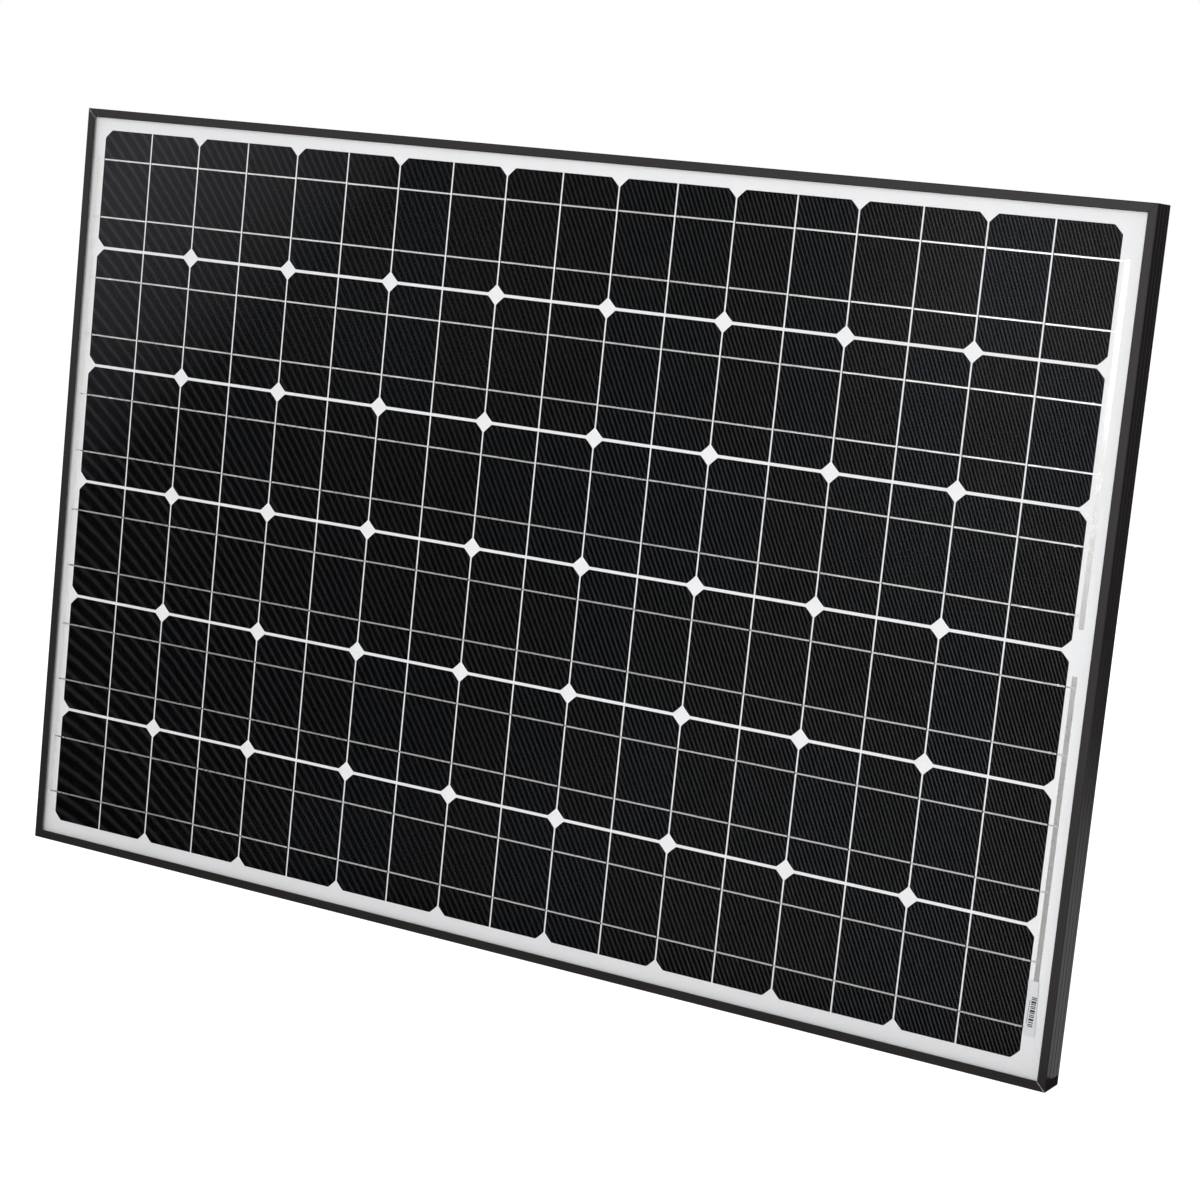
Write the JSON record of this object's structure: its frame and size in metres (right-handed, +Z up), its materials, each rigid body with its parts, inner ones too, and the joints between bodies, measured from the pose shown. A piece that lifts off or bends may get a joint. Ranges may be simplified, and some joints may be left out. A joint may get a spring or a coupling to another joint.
{
  "type": "solar panel",
  "caption": "Framed photovoltaic panel of half-cut black monocrystalline cells on a white backsheet, with a black anodised aluminium frame and a hinged junction box behind.",
  "frame": {"origin": "centre of the bottom edge's face, under the middle of the frame", "axes": "+Z up along the short edge, +X along the long edge to the right as seen from the glass side, -Y out of the glass"},
  "size_m": [1.2, 0.035, 0.808],
  "materials": {
    "frame": "satin black anodised",
    "corner_keys": "mill",
    "glass": "clear tempered, anti-reflective",
    "encapsulant": "clear",
    "cells": "dark blue-black with fine silver lines",
    "tinned_copper": "satin",
    "white_film": "matte",
    "labels": "matte",
    "sealant": "matte",
    "black_plastic": "fine texture",
    "black_rubber": "matte",
    "steel": "satin",
    "diodes": "moulded"
  },
  "bodies": {
    "panel": {"backsheet": "white_film", "box_adhesive": "sealant", "bus_ribbon_left": "tinned_copper", "bus_ribbon_right_lower": "tinned_copper", "bus_ribbon_right_upper": "tinned_copper", "bypass_diode_1": "diodes", "bypass_diode_2": "diodes", "cell_string_1": "cells", "cell_string_2": "cells", "cell_string_3": "cells", "cell_string_4": "cells", "cell_string_5": "cells", "cell_string_6": "cells", "centre_tap_ribbon": "tinned_copper", "corner_key_bottom_left": "corner_keys", "corner_key_bottom_right": "corner_keys", "corner_key_top_left": "corner_keys", "corner_key_top_right": "corner_keys", "edge_seal": "sealant", "frame_rail_bottom": "frame", "frame_rail_left": "frame", "frame_rail_right": "frame", "frame_rail_top": "frame", "front_encapsulant": "encapsulant", "front_glass": "glass", "gland_body_negative": "black_plastic", "gland_body_positive": "black_plastic", "gland_seal_negative": "black_rubber", "gland_seal_positive": "black_rubber", "insulation_strip": "white_film", "junction_box_base": "black_plastic", "lid_gasket": "black_rubber", "lid_hinge_pin": "steel", "rating_label": "labels", "rear_encapsulant": "encapsulant", "serial_label": "labels", "spring_clip_centre": "steel", "spring_clip_negative": "steel", "spring_clip_positive": "steel", "terminal_centre": "tinned_copper", "terminal_negative": "tinned_copper", "terminal_positive": "tinned_copper", "terminal_screw_negative": "steel", "terminal_screw_positive": "steel"},
    "box_lid": {"junction_box_lid": "black_plastic"},
    "gland_nut_upper": {"gland_nut_positive": "black_plastic"},
    "gland_nut_lower": {"gland_nut_negative": "black_plastic"}
  },
  "joints": [
    {"name": "lid_hinge", "type": "hinge", "parent": "panel", "child": "box_lid", "pos_m": [0.518, 0.01, 0.4626], "axis": [1, 0, 0], "range_deg": [0, 110]},
    {"name": "gland_nut_upper_turn", "type": "hinge", "parent": "panel", "child": "gland_nut_upper", "pos_m": [0.4612, 0.0005, 0.431], "axis": [-1, 0, 0], "range_deg": [0, 1080]},
    {"name": "gland_nut_lower_turn", "type": "hinge", "parent": "panel", "child": "gland_nut_lower", "pos_m": [0.4612, 0.0005, 0.377], "axis": [-1, 0, 0], "range_deg": [0, 1080]}
  ]
}
